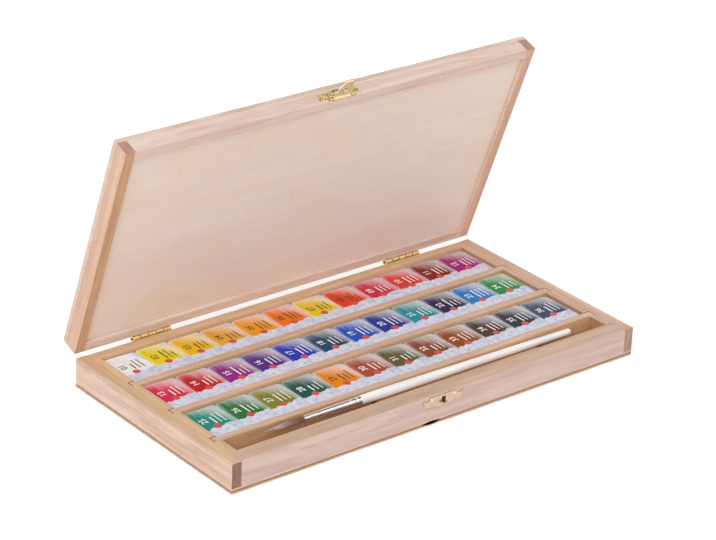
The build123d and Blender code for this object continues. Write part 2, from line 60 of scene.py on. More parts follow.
# Camera, placed where the photograph was taken from
IMAGE_WIDTH = 716
FOCAL_PIXELS = 2821.6
SENSOR_WIDTH_MM = 36.0
CAMERA_AZIMUTH = radians(-39.60)
CAMERA_ELEVATION = radians(25.18)
CAMERA_ROLL = radians(2.48)
CAMERA_DISTANCE = 1.4719
CAMERA_TARGET = Vector((0.0, 0.00737, 0.0532))
TARGET_OFFSET = Vector((0.00206, 0.00248))

# The lid's turn from closed, which the grain of its pieces follows
hinge = next(joint for joint in frame["joints"] if joint["name"] == "lid_hinge")
LID_TURN = -radians(hinge["range_deg"][0])


def rgb(red, green, blue):
    """A colour written in the 0 to 255 steps of a screen, as the linear colour that nodes take."""
    values = [channel / 255 for channel in (red, green, blue)]
    return tuple(v / 12.92 if v <= 0.04045 else ((v + 0.055) / 1.055) ** 2.4 for v in values)


def scaled(values, share):
    """Each of values times share."""
    return tuple(share * value for value in values)


def product(tint, colour):
    """A colour seen through a tint, channel by channel."""
    return tuple(t * c for t, c in zip(tint, colour))


class Material:
    """One material's nodes, with short ways to add and join them."""

    def __init__(self, name):
        self.material = bpy.data.materials.new(name)
        self.material.use_nodes = True
        self.tree = self.material.node_tree
        self.shader = self.tree.nodes["Principled BSDF"]

    def add(self, kind, inputs=None, **settings):
        node = self.tree.nodes.new(kind)
        for key, value in settings.items():
            setattr(node, key, value)
        for key, value in (inputs or {}).items():
            self.put(node.inputs[key], value)
        return node

    def put(self, socket, value):
        """Join value to socket if it is a socket, or else write it there."""
        if isinstance(value, bpy.types.NodeSocket):
            self.tree.links.new(value, socket)
        elif hasattr(value, "__len__") and len(value) == 3 and len(socket.default_value) == 4:
            socket.default_value = (*value, 1)
        else:
            socket.default_value = value

    def set(self, **inputs):
        """Shader inputs, written with _ for the spaces in their names."""
        for key, value in inputs.items():
            self.put(self.shader.inputs[key.replace("_", " ")], value)

    def math(self, operation, *values, clamp=False):
        node = self.add("ShaderNodeMath", operation=operation, use_clamp=clamp)
        for socket, value in zip(node.inputs, values):
            self.put(socket, value)
        return node.outputs[0]

    def mix(self, factor, one, other):
        node = self.add("ShaderNodeMix", data_type="RGBA")
        self.put(node.inputs[0], factor)
        self.put(node.inputs[6], one)
        self.put(node.inputs[7], other)
        return node.outputs[2]

    def step(self, value, low, high, start=0.0, end=1.0):
        """start below low, end above high, and a smooth change between them."""
        node = self.add("ShaderNodeMapRange", interpolation_type="SMOOTHSTEP")
        for socket, number in zip(node.inputs, (value, low, high, start, end)):
            self.put(socket, number)
        return node.outputs[0]

    def coordinates(self, turn=(0, 0, 0), move=(0, 0, 0)):
        """Object coordinates in millimetres, turned and then moved."""
        source = self.add("ShaderNodeTexCoord")
        turned = self.add("ShaderNodeMapping", {"Rotation": turn, "Scale": (PER_MM,) * 3})
        self.put(turned.inputs["Vector"], source.outputs["Object"])
        moved = self.add("ShaderNodeVectorMath", operation="ADD")
        self.put(moved.inputs[0], turned.outputs[0])
        self.put(moved.inputs[1], move)
        return moved.outputs[0]

    def facing(self, turn=(0, 0, 0)):
        """The surface's direction in the same turned axes, as three sockets."""
        source = self.add("ShaderNodeTexCoord")
        turned = self.add("ShaderNodeMapping", {"Rotation": turn}, vector_type="VECTOR")
        self.put(turned.inputs["Vector"], source.outputs["Normal"])
        return self.parts(turned.outputs[0])

    def parts(self, vector):
        return self.add("ShaderNodeSeparateXYZ", {"Vector": vector}).outputs

    def faces_along(self, part):
        """1 on faces that look along one axis, either way, from that part of their direction."""
        return self.step(self.math("ABSOLUTE", part), 0.6, 0.9)

    def noise(self, vector, stretch, detail=2.0, roughness=0.5, distortion=0.0):
        """Noise whose grains are about stretch millimetres long on each axis."""
        shrunk = self.add("ShaderNodeVectorMath", operation="DIVIDE")
        self.put(shrunk.inputs[0], vector)
        self.put(shrunk.inputs[1], stretch if hasattr(stretch, "__len__") else (stretch,) * 3)
        inputs = {
            "Vector": shrunk.outputs[0],
            "Scale": 1.0,
            "Detail": detail,
            "Roughness": roughness,
            "Distortion": distortion,
        }
        return self.add("ShaderNodeTexNoise", inputs).outputs[0]

    def within(self, vector, low, high, soft=0.15):
        """1 inside the box from low to high, 0 outside it."""
        inside = 1.0
        for part, start, end in zip(self.parts(vector), low, high):
            offset = self.math("ABSOLUTE", self.math("SUBTRACT", part, (start + end) / 2))
            half = (end - start) / 2
            inside = self.math("MULTIPLY", inside, self.step(offset, half - soft, half, 1.0, 0.0))
        return inside

    def bump(self, height, depth_mm):
        inputs = {"Height": height, "Strength": 1.0, "Distance": depth_mm * MM}
        return self.add("ShaderNodeBump", inputs).outputs[0]


# Solid wood: how far each layer of its figure darkens it
GROWTH_SHARE = 0.42
STREAK_SHARE = 0.36
FIBRE_SHARE = 0.22
CLOUD_SHARE = 0.35
PATCH_SHARE = 0.42
PATCH_TINT = (0.95, 0.84, 0.74)
FLECK_SHARE = 0.45
FLECK_SHADE = 0.62
TOP_PALE, TOP_DARK, TOP_PATCH, TOP_FLECK = 1.1, 0.74, 0.86, 0.55
INNER_SHADE = 0.8
END_RING_SHADE, END_PORE_SHADE = 0.72, 0.5
# Painted shade, for wood seen behind an opening where a recess would be dark
RECESS_PAINTED_SHADE = rgb(62, 42, 30)
WOOD_SEED_MM = (37.0, 11.3, 5.7)


def wood(name, along, pale, dark, end, top=None, inner=None, lid=False, seed=0, painted_shade_box=None):
    """Bare planed wood. along is the grain's axis, "x" or "y" of the piece when the lid is shut.

    end is the tint of the faces across the grain, top of the rim's faces, and inner of those
    that face the middle of the box. The last argument is a box, low and high corner, in which the
    wood is painted dark as the shade of a recess.
    """
    m = Material(name)
    turn = (LID_TURN if lid else 0, 0, 0)
    place = m.coordinates(turn, scaled(WOOD_SEED_MM, seed))
    run = 0 if along == "x" else 1

    def stretched(length, width, thick=None):
        sizes = [width, width, thick or width]
        sizes[run] = length
        return tuple(sizes)

    growth = m.noise(place, stretched(160, 7, 9), detail=3, roughness=0.55, distortion=0.5)
    streaks = m.noise(place, stretched(38, 1.7), detail=4, roughness=0.6)
    fibres = m.noise(place, stretched(9, 0.32), detail=3, roughness=0.7)
    flecks = m.noise(place, stretched(2.4, 0.34), detail=1)
    cloud = m.noise(place, stretched(90, 24), detail=2)
    patches = m.noise(place, stretched(30, 3.4), detail=3, roughness=0.6, distortion=0.4)
    tone = m.math(
        "ADD",
        m.step(growth, 0.36, 0.64, end=GROWTH_SHARE),
        m.step(streaks, 0.34, 0.66, end=STREAK_SHARE),
    )
    tone = m.math("ADD", tone, m.step(fibres, 0.3, 0.7, end=FIBRE_SHARE))
    patch_share = m.step(patches, 0.5, 0.66, end=PATCH_SHARE)
    fleck_share = m.step(flecks, 0.66, 0.74, end=FLECK_SHARE)

    colour = m.mix(tone, pale, dark)
    colour = m.mix(m.step(cloud, 0.4, 0.7, end=CLOUD_SHARE), colour, m.mix(0.5, pale, dark))
    colour = m.mix(patch_share, colour, product(PATCH_TINT, dark))
    colour = m.mix(fleck_share, colour, scaled(dark, FLECK_SHADE))
    normal = m.facing(turn)
    if top:
        tinted = m.mix(tone, scaled(top, TOP_PALE), scaled(top, TOP_DARK))
        tinted = m.mix(patch_share, tinted, product(scaled(PATCH_TINT, TOP_PATCH), top))
        tinted = m.mix(fleck_share, tinted, scaled(top, TOP_FLECK))
        colour = m.mix(m.faces_along(normal[2]), colour, tinted)
    if inner:
        # Faces that look inwards are those whose place and direction point apart
        source = m.add("ShaderNodeTexCoord")
        outward = m.add("ShaderNodeVectorMath", operation="DOT_PRODUCT")
        m.put(outward.inputs[0], source.outputs["Object"])
        m.put(outward.inputs[1], source.outputs["Normal"])
        inward = m.step(outward.outputs["Value"], -0.004, 0.0, 1.0, 0.0)
        colour = m.mix(inward, colour, m.mix(tone, inner, scaled(inner, INNER_SHADE)))
    rings = m.noise(place, stretched(60, 1.3, 4.5), detail=3, roughness=0.6, distortion=0.8)
    pores = m.noise(place, stretched(60, 0.35), detail=1)
    end_colour = m.mix(m.step(rings, 0.3, 0.7), end, scaled(end, END_RING_SHADE))
    pore_share = m.step(pores, 0.6, 0.75, end=0.5)
    end_colour = m.mix(pore_share, end_colour, scaled(end, END_PORE_SHADE))
    colour = m.mix(m.faces_along(normal[run]), colour, end_colour)
    if painted_shade_box:
        # Painted shade: the wood in this box is darkened as a recess behind an opening would be
        colour = m.mix(m.within(m.coordinates(), *painted_shade_box), colour, RECESS_PAINTED_SHADE)
    m.set(
        Base_Color=colour,
        Roughness=m.step(fibres, 0.2, 0.8, 0.5, 0.66),
        Specular_IOR_Level=0.35,
        Normal=m.bump(m.math("ADD", fibres, m.math("MULTIPLY", streaks, 0.6)), 0.06),
    )
    return m.material


# Plywood: its figure, and its layers as shares of the sheet's thickness. A seed moves the figure
# sideways only, so that heights stay true.
PLY_FIGURE_SHARE = 0.42
PLY_BAND_SHARE = 0.2
PLY_GRAIN_SHARE = 0.38
PLY_WARM_TINT = (0.98, 0.91, 0.79)
PLY_PORE_SHADE = 0.62
LOWER_GLUE, UPPER_GLUE = 0.325, 0.675
GLUE_SOFT = 0.035
LAYER_WOBBLE = 0.12
CORE_SHADE = 0.66
GLUE_LINE = rgb(96, 66, 48)
# Painted shade, for a hollow in a sheet's edge
HOLLOW_PAINTED_SHADE = rgb(34, 22, 16)
PLY_SEED_MM = (41.0, 23.0, 0.0)


def plywood(name, pale, dark, lid=False, seed=0, core=None, thickness=None, hollow_shade_box=None):
    """A veneered sheet with open figure.

    core is the tint of the middle layer, for a sheet that lies at height 0 and whose edges show
    their layers. thickness is that sheet's. The last argument is a box, low and high corner, which
    is painted dark as the shade inside a hollow.
    """
    m = Material(name)
    turn = (LID_TURN if lid else 0, 0, 0)
    place = m.coordinates(turn, scaled(PLY_SEED_MM, seed))
    figure = m.noise(place, (130, 26, 60), detail=3, roughness=0.5, distortion=1.6)
    bands = m.add(
        "ShaderNodeTexWave",
        {
            "Vector": place,
            "Scale": 0.016,
            "Distortion": 9.0,
            "Detail": 3.0,
            "Detail Scale": 0.35,
            "Detail Roughness": 0.55,
        },
        wave_type="BANDS",
        bands_direction="Y",
        wave_profile="SAW",
    ).outputs[1]
    streaks = m.noise(place, (34, 1.6, 8), detail=4, roughness=0.65)
    fibres = m.noise(place, (11, 0.42, 4), detail=3, roughness=0.7)
    pores = m.noise(place, (3.2, 0.3, 3), detail=1)
    clouds = m.noise(place, (70, 34, 60), detail=3, roughness=0.55, distortion=1.4)
    tone = m.math(
        "ADD",
        m.step(figure, 0.35, 0.65, end=PLY_FIGURE_SHARE),
        m.math("MULTIPLY", bands, PLY_BAND_SHARE),
    )
    grain = m.math("ADD", m.math("MULTIPLY", streaks, 0.55), m.math("MULTIPLY", fibres, 0.45))
    tone = m.math("ADD", tone, m.step(grain, 0.36, 0.64, end=PLY_GRAIN_SHARE))
    colour = m.mix(tone, pale, dark)
    colour = m.mix(m.step(clouds, 0.48, 0.64, end=0.6), colour, product(PLY_WARM_TINT, pale))
    colour = m.mix(m.step(pores, 0.64, 0.74, end=0.4), colour, scaled(dark, PLY_PORE_SHADE))

    edge_colour = m.mix(m.step(streaks, 0.3, 0.7), dark, pale)
    if core:
        height = m.math("DIVIDE", m.parts(place)[2], thickness)
        centred = m.math("SUBTRACT", m.noise(place, (16, 16, 4)), 0.5)
        layer = m.math("ADD", height, m.math("MULTIPLY", centred, LAYER_WOBBLE))
        inner = m.math(
            "SUBTRACT",
            m.step(layer, LOWER_GLUE - GLUE_SOFT, LOWER_GLUE + GLUE_SOFT),
            m.step(layer, UPPER_GLUE - GLUE_SOFT, UPPER_GLUE + GLUE_SOFT),
        )
        ends = m.noise(place, (1.1, 1.1, 0.3), detail=2)
        core_colour = m.mix(m.step(ends, 0.35, 0.65), core, scaled(core, CORE_SHADE))
        edge_colour = m.mix(inner, edge_colour, core_colour)
        lower_gap = m.math("ABSOLUTE", m.math("SUBTRACT", layer, LOWER_GLUE))
        upper_gap = m.math("ABSOLUTE", m.math("SUBTRACT", layer, UPPER_GLUE))
        line = m.step(m.math("MINIMUM", lower_gap, upper_gap), 0.0, 0.05, 0.45, 0.0)
        edge_colour = m.mix(line, edge_colour, GLUE_LINE)
    colour = m.mix(m.faces_along(m.facing(turn)[2]), edge_colour, colour)
    if hollow_shade_box:
        # Painted shade: the box is darkened as the inside of a hollow would be
        colour = m.mix(m.within(m.coordinates(), *hollow_shade_box), colour, HOLLOW_PAINTED_SHADE)
    m.set(
        Base_Color=colour,
        Roughness=m.step(streaks, 0.2, 0.8, 0.46, 0.6),
        Specular_IOR_Level=0.4,
        Normal=m.bump(m.math("ADD", streaks, m.math("MULTIPLY", pores, 0.4)), 0.05),
    )
    return m.material


METAL_SMOOTH, METAL_ROUGH = 0.75, 1.35


def metal(name, colour, dark, roughness, grain_mm=(6, 0.2, 0.2), depth_mm=0.004, tarnish=None):
    """Bright metal with faint drawing lines or dents, and a patchy film.

    tarnish is the colour of darker spots, as old lacquered brass has them.
    """
    m = Material(name)
    place = m.coordinates()
    film = m.noise(place, 2.2, detail=3, roughness=0.6)
    lines = m.noise(place, grain_mm, detail=1)
    colour = m.mix(m.step(film, 0.35, 0.7, end=0.5), colour, dark)
    if tarnish:
        spots = m.noise(place, 1.5, detail=2, roughness=0.6)
        colour = m.mix(m.step(spots, 0.53, 0.62, end=0.85), colour, tarnish)
    m.set(
        Base_Color=colour,
        Metallic=1.0,
        Roughness=m.step(lines, 0.2, 0.8, roughness * METAL_SMOOTH, roughness * METAL_ROUGH),
        Normal=m.bump(lines, depth_mm),
    )
    return m.material


def lacquer(name):
    """The brush's handle: white paint over wood, a little uneven, under gloss."""
    m = Material(name)
    place = m.coordinates()
    film = m.noise(place, (26, 3, 3), detail=3)
    specks = m.noise(place, 0.9, detail=2)
    colour = m.mix(m.step(film, 0.35, 0.7), rgb(250, 249, 248), rgb(238, 236, 237))
    colour = m.mix(m.step(specks, 0.68, 0.76, end=0.25), colour, rgb(196, 192, 190))
    m.set(
        Base_Color=colour,
        Roughness=m.step(film, 0.3, 0.7, 0.2, 0.3),
        Coat_Weight=0.6,
        Coat_Roughness=0.08,
        Normal=m.bump(film, 0.02),
    )
    return m.material


def hair(name, tip_x, root_x):
    """Brown hair, darker where it leaves the ferrule and pale at the point."""
    m = Material(name)
    place = m.coordinates()
    share = m.step(m.parts(place)[0], tip_x, root_x)
    shade = m.noise(place, (14, 0.25, 0.25), detail=2)
    colour = m.mix(share, rgb(250, 236, 224), rgb(146, 88, 68))
    dark_share = m.math("MULTIPLY", m.step(shade, 0.42, 0.62, end=0.6), share)
    colour = m.mix(dark_share, colour, rgb(92, 52, 40))
    m.set(Base_Color=colour, Roughness=m.step(shade, 0.3, 0.7, 0.3, 0.46), Sheen_Weight=0.2)
    return m.material


# Paint colours, pan by pan along each row, from the back row to the front one
PAN_COLOURS = {
    "white": (252, 252, 255),
    "lemon yellow": (240, 222, 20),
    "deep yellow": (243, 196, 8),
    "light ochre": (236, 172, 56),
    "golden yellow": (246, 160, 22),
    "light orange": (244, 122, 8),
    "warm yellow": (238, 206, 30),
    "orange red": (232, 64, 18),
    "rose red": (214, 44, 72),
    "coral red": (226, 62, 56),
    "burnt red": (142, 34, 26),
    "magenta": (176, 28, 122),
    "crimson pink": (226, 32, 84),
    "bright red": (200, 24, 36),
    "red violet": (150, 34, 140),
    "violet": (88, 38, 142),
    "deep blue": (30, 54, 188),
    "night blue": (24, 72, 108),
    "azure blue": (22, 84, 198),
    "dark blue": (24, 52, 156),
    "turquoise": (12, 150, 164),
    "blue black": (26, 30, 84),
    "sky blue": (22, 134, 206),
    "bright green": (34, 142, 64),
    "sea green": (6, 148, 132),
    "leaf green": (30, 118, 56),
    "olive green": (132, 134, 30),
    "pine green": (14, 84, 74),
    "amber": (238, 140, 12),
    "light red brown": (172, 78, 48),
    "green brown": (100, 92, 44),
    "red brown": (142, 76, 48),
    "golden brown": (150, 78, 10),
    "dark brown": (78, 56, 44),
    "black": (44, 46, 62),
    "blue grey": (60, 72, 100),
}
# Paints too pale for white print
DARK_PRINT_PAINTS = {
    "white",
    "lemon yellow",
    "deep yellow",
    "light ochre",
    "golden yellow",
    "light orange",
    "warm yellow",
    "orange red",
    "amber",
}

# The label, in millimetres from the middle of the pan's top
PAPER_PALE = rgb(218, 221, 234)
PAPER_DARK = rgb(192, 198, 217)
BAND_EDGE_MM = -5.6
BAND_SLANT = 0.10
BAND_RAGGED_MM = 4.2
WASH_SLANT = 0.7
WASH_STRENGTH = 1.12
WASH_PALE_SHARE = 0.3
WASH_PAINT_SHADE = 0.86
LABEL_SEED_MM = (29.0, 17.0, 0.0)


def label(name, paint, seed, half_width, half_length):
    """A pan's printed wrapper: a wash of its paint on the top, over plain paper."""
    m = Material(name)
    across, along, _ = m.parts(m.coordinates())
    shifted = m.coordinates(move=scaled(LABEL_SEED_MM, seed))
    paper_noise = m.noise(shifted, 3.0, detail=3)
    paper = m.mix(m.step(paper_noise, 0.3, 0.7), PAPER_PALE, PAPER_DARK)

    centred = m.math("SUBTRACT", m.noise(shifted, (2.6, 40, 9)), 0.5)
    ragged = m.math("MULTIPLY", centred, BAND_RAGGED_MM)
    slant = m.math("MULTIPLY", across, BAND_SLANT)
    edge = m.math("ADD", m.math("ADD", ragged, slant), BAND_EDGE_MM)
    painted = m.step(m.math("SUBTRACT", along, edge), -0.15, 0.5)

    diagonal = m.math("ADD", along, m.math("MULTIPLY", across, WASH_SLANT))
    depth = m.step(diagonal, BAND_EDGE_MM - 1, half_length + 4, WASH_STRENGTH, WASH_PALE_SHARE)
    streaks = m.noise(shifted, (1.5, 14, 9), detail=3)
    grain = m.noise(shifted, 0.7, detail=2)
    strength = m.math("MULTIPLY", depth, m.step(streaks, 0.2, 0.8, 0.80, 1.16))
    strength = m.math("MULTIPLY", strength, m.step(grain, 0.2, 0.8, 0.93, 1.06))
    left_fade = m.step(m.math("ADD", half_width, across), 0.0, 2.4, 0.6, 1.0)
    right_fade = m.step(m.math("SUBTRACT", half_width, across), 0.4, 6.5, 0.5, 1.0)
    side_fade = m.math("MULTIPLY", left_fade, right_fade)
    back_fade = m.step(m.math("SUBTRACT", half_length, along), 0.3, 2.6, 0.5, 1.0)
    strength = m.math("MULTIPLY", strength, m.math("MULTIPLY", side_fade, back_fade))
    strength = m.math("MULTIPLY", strength, painted, clamp=True)
    tinted = tuple(0.5 + 0.5 * channel for channel in paint)
    wash = m.mix(m.step(strength, 0.0, 0.4), paper, tinted)
    wash = m.mix(m.step(strength, 0.12, 0.86), wash, scaled(paint, WASH_PAINT_SHADE))

    up = m.step(m.facing()[2], 0.35, 0.75)
    m.set(
        Base_Color=m.mix(up, paper, wash),
        Roughness=m.step(paper_noise, 0.2, 0.8, 0.36, 0.48),
        Specular_IOR_Level=0.14,
        Normal=m.bump(paper_noise, 0.05),
    )
    return m.material


def ink(name, colour):
    """Flat print, a little worn."""
    m = Material(name)
    wear = m.noise(m.coordinates(), 0.5, detail=2)
    lighter = tuple(0.8 * channel + 0.2 for channel in colour)
    m.set(Base_Color=m.mix(m.step(wear, 0.55, 0.8, end=0.4), colour, lighter), Roughness=0.4)
    return m.material


def new_object(name, mesh, body, place=(0, 0, 0)):
    """An object for mesh at place, riding on a CAD body."""
    thing = bpy.data.objects.new(name, mesh)
    thing.location = place
    bpy.context.scene.collection.objects.link(thing)
    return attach(thing, body)


def mesh_from(build, name, materials):
    """A mesh whose bmesh is filled by build, smooth but for what other materials print on it."""
    shape = bmesh.new()
    build(shape)
    mesh = bpy.data.meshes.new(name)
    shape.to_mesh(mesh)
    shape.free()
    for material in materials:
        mesh.materials.append(material)
    for face in mesh.polygons:
        face.use_smooth = face.material_index == 0
    return mesh


def bridge(shape, lower, upper):
    """Faces between two rings of as many corners."""
    for index in range(len(lower)):
        after = (index + 1) % len(lower)
        shape.faces.new((lower[index], lower[after], upper[after], upper[index]))


# Pans: folded paper wrappers, slightly soft at their edges
CORNER_MM = 1.2
BACK_CORNER_MM = 2.3
LEAST_CORNER_MM = 0.12
FOOT_MM = 0.35
EDGE_MM = 0.8
CORNER_STEPS = 4
EDGE_STEPS = 4
FLAP_RISE_MM = 0.16
FLAP_SHARE = 0.62
FLAP_TOP_HALF_MM = 2.4
FLAP_FOOT_MM = 0.4
FLAP_INSET_MM = 1.0
SIDE_FLAP_RISE = 0.4
SIDE_FLAP_FOOT_MM = 0.5
SIDE_FLAP_TOP_MM = 1.2
SIDE_FLAP_TIP_MM = 0.5


def outline(half_width, half_length, inset):
    """Points round a rectangle whose rounded corners are wider at the back."""
    points = []
    centres = [(1, 1, 0), (-1, 1, 1), (-1, -1, 2), (1, -1, 3)]
    for side_x, side_y, quarter in centres:
        corner = max((BACK_CORNER_MM if side_y > 0 else CORNER_MM) - inset, LEAST_CORNER_MM)
        for step in range(CORNER_STEPS + 1):
            angle = (quarter + step / CORNER_STEPS) * pi / 2
            x = side_x * (half_width - corner) + corner * cos(angle)
            y = side_y * (half_length - corner) + corner * sin(angle)
            points.append((x, y))
    return points


def pan_body(shape, size):
    """The wrapped block: rings from the underside up over the soft top edge."""
    half_width, half_length, height = size[0] / 2, size[1] / 2 - FLAP_RISE_MM, size[2]
    rings = [(FOOT_MM, 0.0), (0.0, FOOT_MM)]
    for step in range(EDGE_STEPS + 1):
        angle = step / EDGE_STEPS * pi / 2
        rings.append((EDGE_MM * (1 - cos(angle)), height - EDGE_MM * (1 - sin(angle))))
    loops = []
    for inset, z in rings:
        ring = outline(half_width - inset, half_length - inset, inset)
        loops.append([shape.verts.new((x * MM, y * MM, z * MM)) for x, y in ring])
    for lower, upper in zip(loops, loops[1:]):
        bridge(shape, lower, upper)
    shape.faces.new(loops[-1])
    shape.faces.new(list(reversed(loops[0])))


def pan_flap(shape, size, side):
    """The folded end: two side flaps under one that comes up from the underside."""
    half_width, half_length, height = size[0] / 2, size[1] / 2, size[2]
    base_y = side * (half_length - FLAP_RISE_MM)
    peak = height * FLAP_SHARE
    lift = side * FLAP_RISE_MM
    reach = half_width - FLAP_INSET_MM
    low, high, middle = SIDE_FLAP_FOOT_MM, height - SIDE_FLAP_TOP_MM, height / 2
    tip, foot, top = SIDE_FLAP_TIP_MM, FLAP_FOOT_MM, FLAP_TOP_HALF_MM
    layers = [
        ([(-reach, low), (-reach, high), (-tip, middle)], SIDE_FLAP_RISE),
        ([(reach, low), (tip, middle), (reach, high)], SIDE_FLAP_RISE),
        ([(-reach, foot), (-top, peak), (top, peak), (reach, foot)], 1.0),
    ]
    for corners, share in layers:
        outer_y = (base_y + lift * share) * MM
        outer = [shape.verts.new((x * MM, outer_y, z * MM)) for x, z in corners]
        inner = [shape.verts.new((x * MM, base_y * MM, z * MM)) for x, z in corners]
        shape.faces.new(outer)
        bridge(shape, inner, outer)


# Print on the pans' tops, from their middle
INK_RISE_MM = 0.03
NUMBER_SIZE_MM = 5.2
NUMBER_WEIGHT_MM = 0.06
NUMBER_PLACE_MM = (-5.2, 2.6)
RULES = 3
FIRST_RULE_MM = (-0.2, -2.2)
RULE_PITCH_MM = 2.7
RULE_LENGTH_MM = 5.5
RULE_SPREAD_MM = 4.5
FIRST_RULE_HALF_MM = 0.42
RULE_HALF_MM = 0.3
SPOT_STEPS = 24
# Round spots: their middle, their radius, and the material slot that they take
SPOTS_MM = (((-1.9, -4.9), 2.1, 2), ((5.2, -8.8), 0.9, 3), ((-6.0, -11.0), 0.9, 3))


def number_faces(text, size_mm):
    """The outlines of a plain number as faces, from Blender's own font."""
    curve = bpy.data.curves.new("number", "FONT")
    curve.body = text
    curve.size = size_mm * MM
    curve.offset = NUMBER_WEIGHT_MM * MM
    curve.align_x, curve.align_y = "CENTER", "CENTER"
    curve.resolution_u = 2
    carrier = bpy.data.objects.new("number", curve)
    bpy.context.scene.collection.objects.link(carrier)
    bpy.context.view_layer.update()
    evaluated = carrier.evaluated_get(bpy.context.evaluated_depsgraph_get())
    flat = bpy.data.meshes.new_from_object(evaluated)
    bpy.data.objects.remove(carrier)
    bpy.data.curves.remove(curve)
    corners = [Vector(vertex.co) for vertex in flat.vertices]
    faces = [tuple(face.vertices) for face in flat.polygons]
    bpy.data.meshes.remove(flat)
    return corners, faces


def print_label(shape, index, size):
    """The number, rules and spots on the pan's top, which read lengthways."""
    top = size[2] * MM
    corners, faces = number_faces(f"{index:02d}", NUMBER_SIZE_MM)
    turned = Matrix.Rotation(pi / 2, 3, "Z")
    number_at = Vector((NUMBER_PLACE_MM[0] * MM, NUMBER_PLACE_MM[1] * MM, top))
    printed = [shape.verts.new(turned @ corner + number_at) for corner in corners]
    for face in faces:
        shape.faces.new([printed[corner] for corner in face]).material_index = 1
    chooser = random.Random(index)
    for rule in range(RULES):
        x = (FIRST_RULE_MM[0] + RULE_PITCH_MM * rule) * MM
        start = FIRST_RULE_MM[1] * MM
        end = start + (RULE_LENGTH_MM + RULE_SPREAD_MM * chooser.random()) * MM
        half = (FIRST_RULE_HALF_MM if rule == 0 else RULE_HALF_MM) * MM
        bar = [(x - half, start), (x + half, start), (x + half, end), (x - half, end)]
        shape.faces.new([shape.verts.new((bx, by, top)) for bx, by in bar]).material_index = 1
    for centre, radius, slot in SPOTS_MM:
        spot = []
        for step in range(SPOT_STEPS):
            angle = 2 * pi * step / SPOT_STEPS
            x = (centre[0] + radius * cos(angle)) * MM
            y = (centre[1] + radius * sin(angle)) * MM
            spot.append(shape.verts.new((x, y, top)))
        shape.faces.new(spot).material_index = slot
    print_faces = [face for face in shape.faces if face.material_index]
    raised = bmesh.ops.extrude_face_region(shape, geom=print_faces)["geom"]
    lifted = [item for item in raised if isinstance(item, bmesh.types.BMVert)]
    bmesh.ops.translate(shape, verts=lifted, vec=(0, 0, INK_RISE_MM * MM))


white_ink = ink("white_ink", rgb(240, 238, 236))
red_ink = ink("red_ink", rgb(206, 62, 62))
dark_ink = ink("dark_ink", rgb(58, 44, 40))
pale_blue_ink = ink("pale_blue_ink", rgb(170, 190, 222))

for index, (paint_name, paint) in enumerate(PAN_COLOURS.items(), start=1):
    node = f"paint_pan_{index:02d}"
    low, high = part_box(node)
    size = [extent * PER_MM for extent in high - low]
    wrapper = label(f"label_{index:02d}", rgb(*paint), index, size[0] / 2, size[1] / 2)
    letters = dark_ink if paint_name in DARK_PRINT_PAINTS else white_ink

    def build(shape):
        pan_body(shape, size)
        pan_flap(shape, size, 1)
        pan_flap(shape, size, -1)
        print_label(shape, index, size)
        bmesh.ops.recalc_face_normals(shape, faces=shape.faces)

    mesh = mesh_from(build, f"wrapped_pan_{index:02d}", (wrapper, letters, red_ink, pale_blue_ink))
    place = ((low.x + high.x) / 2, (low.y + high.y) / 2, low.z)
    pan = new_object(f"wrapped_pan_{index:02d}", mesh, f"pan_{index:02d}", place)
    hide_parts(node)


# Brush hair: fine strands that fill the CAD's pointed solid
STRANDS = 620
STRAND_SECTIONS = 7
STRAND_SIDES = 3
ROOT_RADIUS_MM = 1.34
BELLY_RADIUS_MM = 1.45
HAIR_RADIUS_MM = 0.06
HAIR_TAPER = 0.6
TUFT_LENGTH_MM = 25.5
TUFT_SINK_MM = 0.4
TUFT_PAST_MM = 0.2
BELLY_SHARE = 0.74
POINT_POWER = 1.9
OUTER_SHORTER = 0.24
LENGTH_SPREAD = 0.05
WAVE_MM = 0.16
TUFT_SEED = 7


def ring_centre(node, at_low_end):
    """The middle of a turned node's end face, the one with the lowest or highest x."""
    points = [vertex.co for vertex in frame["nodes"][node].data.vertices]
    limit = min(p.x for p in points) if at_low_end else max(p.x for p in points)
    end = [p for p in points if abs(p.x - limit) < 0.2 * MM]
    total = Vector((0, 0, 0))
    for point in end:
        total += point
    return total / len(end)


def tuft(shape):
    """Strands that leave the ferrule close together, swell and come to a point."""
    front = ring_centre("brush_ferrule", True)
    back = ring_centre("brush_ferrule", False)
    out = (front - back).normalized()
    side = out.cross(Vector((0, 0, 1))).normalized()
    up = side.cross(out)
    chooser = random.Random(TUFT_SEED)
    golden_turn = pi * (3 - sqrt(5))
    for strand in range(STRANDS):
        spread = sqrt((strand + 0.5) / STRANDS)
        angle = strand * golden_turn
        reach = 1 - OUTER_SHORTER * spread * spread - LENGTH_SPREAD * chooser.random()
        wave = (chooser.random() - 0.5) * WAVE_MM
        loops = []
        for section in range(STRAND_SECTIONS + 1):
            share = section / STRAND_SECTIONS * reach
            swell = sin(min(share / (1 - BELLY_SHARE), 1) * pi / 2)
            radius = ROOT_RADIUS_MM + (BELLY_RADIUS_MM - ROOT_RADIUS_MM) * swell
            if share > 1 - BELLY_SHARE:
                fall = (share - (1 - BELLY_SHARE)) / BELLY_SHARE
                radius *= 1 - fall**POINT_POWER
            distance = spread * radius + wave * sin(share * pi)
            thick = HAIR_RADIUS_MM * (1 - HAIR_TAPER * (section / STRAND_SECTIONS) ** 2)
            length = -TUFT_SINK_MM + share * (TUFT_LENGTH_MM + TUFT_PAST_MM)
            centre = front + out * (length * MM)
            centre += (side * cos(angle) + up * sin(angle)) * (distance * MM)
            corners = []
            for corner in range(STRAND_SIDES):
                spin = angle + corner * 2 * pi / STRAND_SIDES
                offset = (side * cos(spin) + up * sin(spin)) * (thick * MM)
                corners.append(shape.verts.new(centre + offset))
            loops.append(corners)
        for lower, upper in zip(loops, loops[1:]):
            bridge(shape, lower, upper)
        shape.faces.new(loops[0])
        shape.faces.new(list(reversed(loops[-1])))


